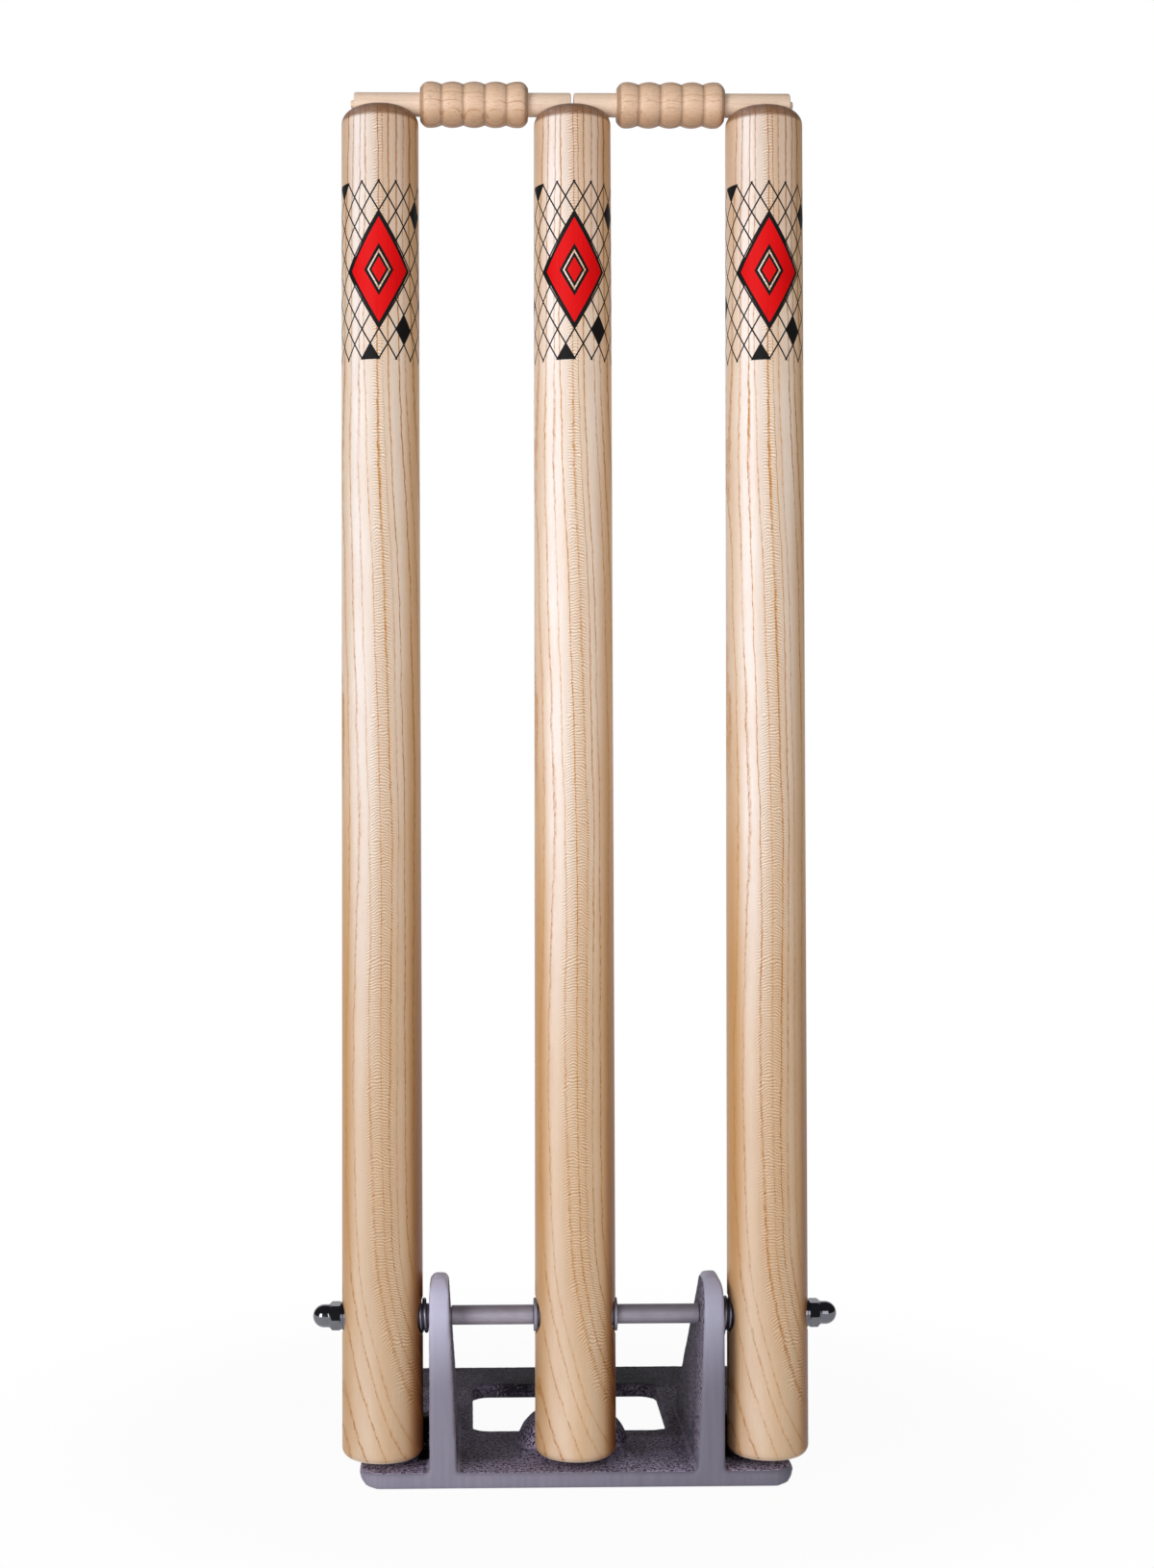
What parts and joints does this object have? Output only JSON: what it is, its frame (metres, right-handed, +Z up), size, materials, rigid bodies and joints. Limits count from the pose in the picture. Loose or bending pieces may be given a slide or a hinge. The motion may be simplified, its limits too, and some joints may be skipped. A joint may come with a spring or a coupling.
{
  "type": "cricket stumps",
  "caption": "Wooden cricket stumps with turned bails on a rod, each sprung upright between the ears of a cast metal base with a window.",
  "frame": {"origin": "on the ground, under the middle of the base plate", "axes": "+X across the wicket to the right seen from the front, +Y from the front of the base to its back, +Z up along the stumps"},
  "size_m": [0.272, 0.209, 0.7241],
  "materials": {
    "cast_metal": "sand-cast grey metal, rough on the drafted faces and smoother on the front faces",
    "ash_wood": "clear satin varnish over pale ash with brown grain lines",
    "bail_wood": "turned pale hardwood, satin",
    "bright_steel": "turned steel, satin",
    "chrome": "bright plated",
    "spring_steel": "oiled dark spring wire"
  },
  "bodies": {
    "base": {"base_casting": "cast_metal", "pivot_rod": "bright_steel", "left_spacer_tube": "bright_steel", "right_spacer_tube": "bright_steel", "left_inner_washer": "bright_steel", "right_inner_washer": "bright_steel", "left_pivot_sleeve": "bright_steel", "middle_pivot_sleeve": "bright_steel", "right_pivot_sleeve": "bright_steel", "left_flat_washer": "chrome", "right_flat_washer": "chrome", "left_lock_washer": "chrome", "right_lock_washer": "chrome", "left_acorn_nut": "chrome", "right_acorn_nut": "chrome", "left_return_spring": "spring_steel", "right_return_spring": "spring_steel", "middle_left_return_spring": "spring_steel", "middle_right_return_spring": "spring_steel"},
    "left_stump": {"left_stump": "ash_wood"},
    "middle_stump": {"middle_stump": "ash_wood"},
    "right_stump": {"right_stump": "ash_wood"},
    "left_bail": {"left_bail": "bail_wood"},
    "right_bail": {"right_bail": "bail_wood"}
  },
  "joints": [
    {"name": "left_stump_tip", "type": "hinge", "parent": "base", "child": "left_stump", "pos_m": [-0.1, -0.0825, 0.0835], "axis": [-1, 0, 0], "range_deg": [0, 85], "stiffness_Nm_per_rad": 0.76, "springref_deg": -143.24, "deforming": ["left_return_spring"]},
    {"name": "middle_stump_tip", "type": "hinge", "parent": "base", "child": "middle_stump", "pos_m": [0, -0.0825, 0.0835], "axis": [-1, 0, 0], "range_deg": [0, 85], "stiffness_Nm_per_rad": 1.98, "springref_deg": -57.3, "deforming": ["middle_left_return_spring", "middle_right_return_spring"]},
    {"name": "right_stump_tip", "type": "hinge", "parent": "base", "child": "right_stump", "pos_m": [0.1, -0.0825, 0.0835], "axis": [-1, 0, 0], "range_deg": [0, 85], "stiffness_Nm_per_rad": 0.76, "springref_deg": -143.24, "deforming": ["right_return_spring"]},
    {"name": "left_bail_lift", "type": "slide", "parent": "left_stump", "child": "left_bail", "axis": [0, 0, 1], "range_m": [0, 0.03]},
    {"name": "right_bail_lift", "type": "slide", "parent": "right_stump", "child": "right_bail", "axis": [0, 0, 1], "range_m": [0, 0.03]}
  ]
}
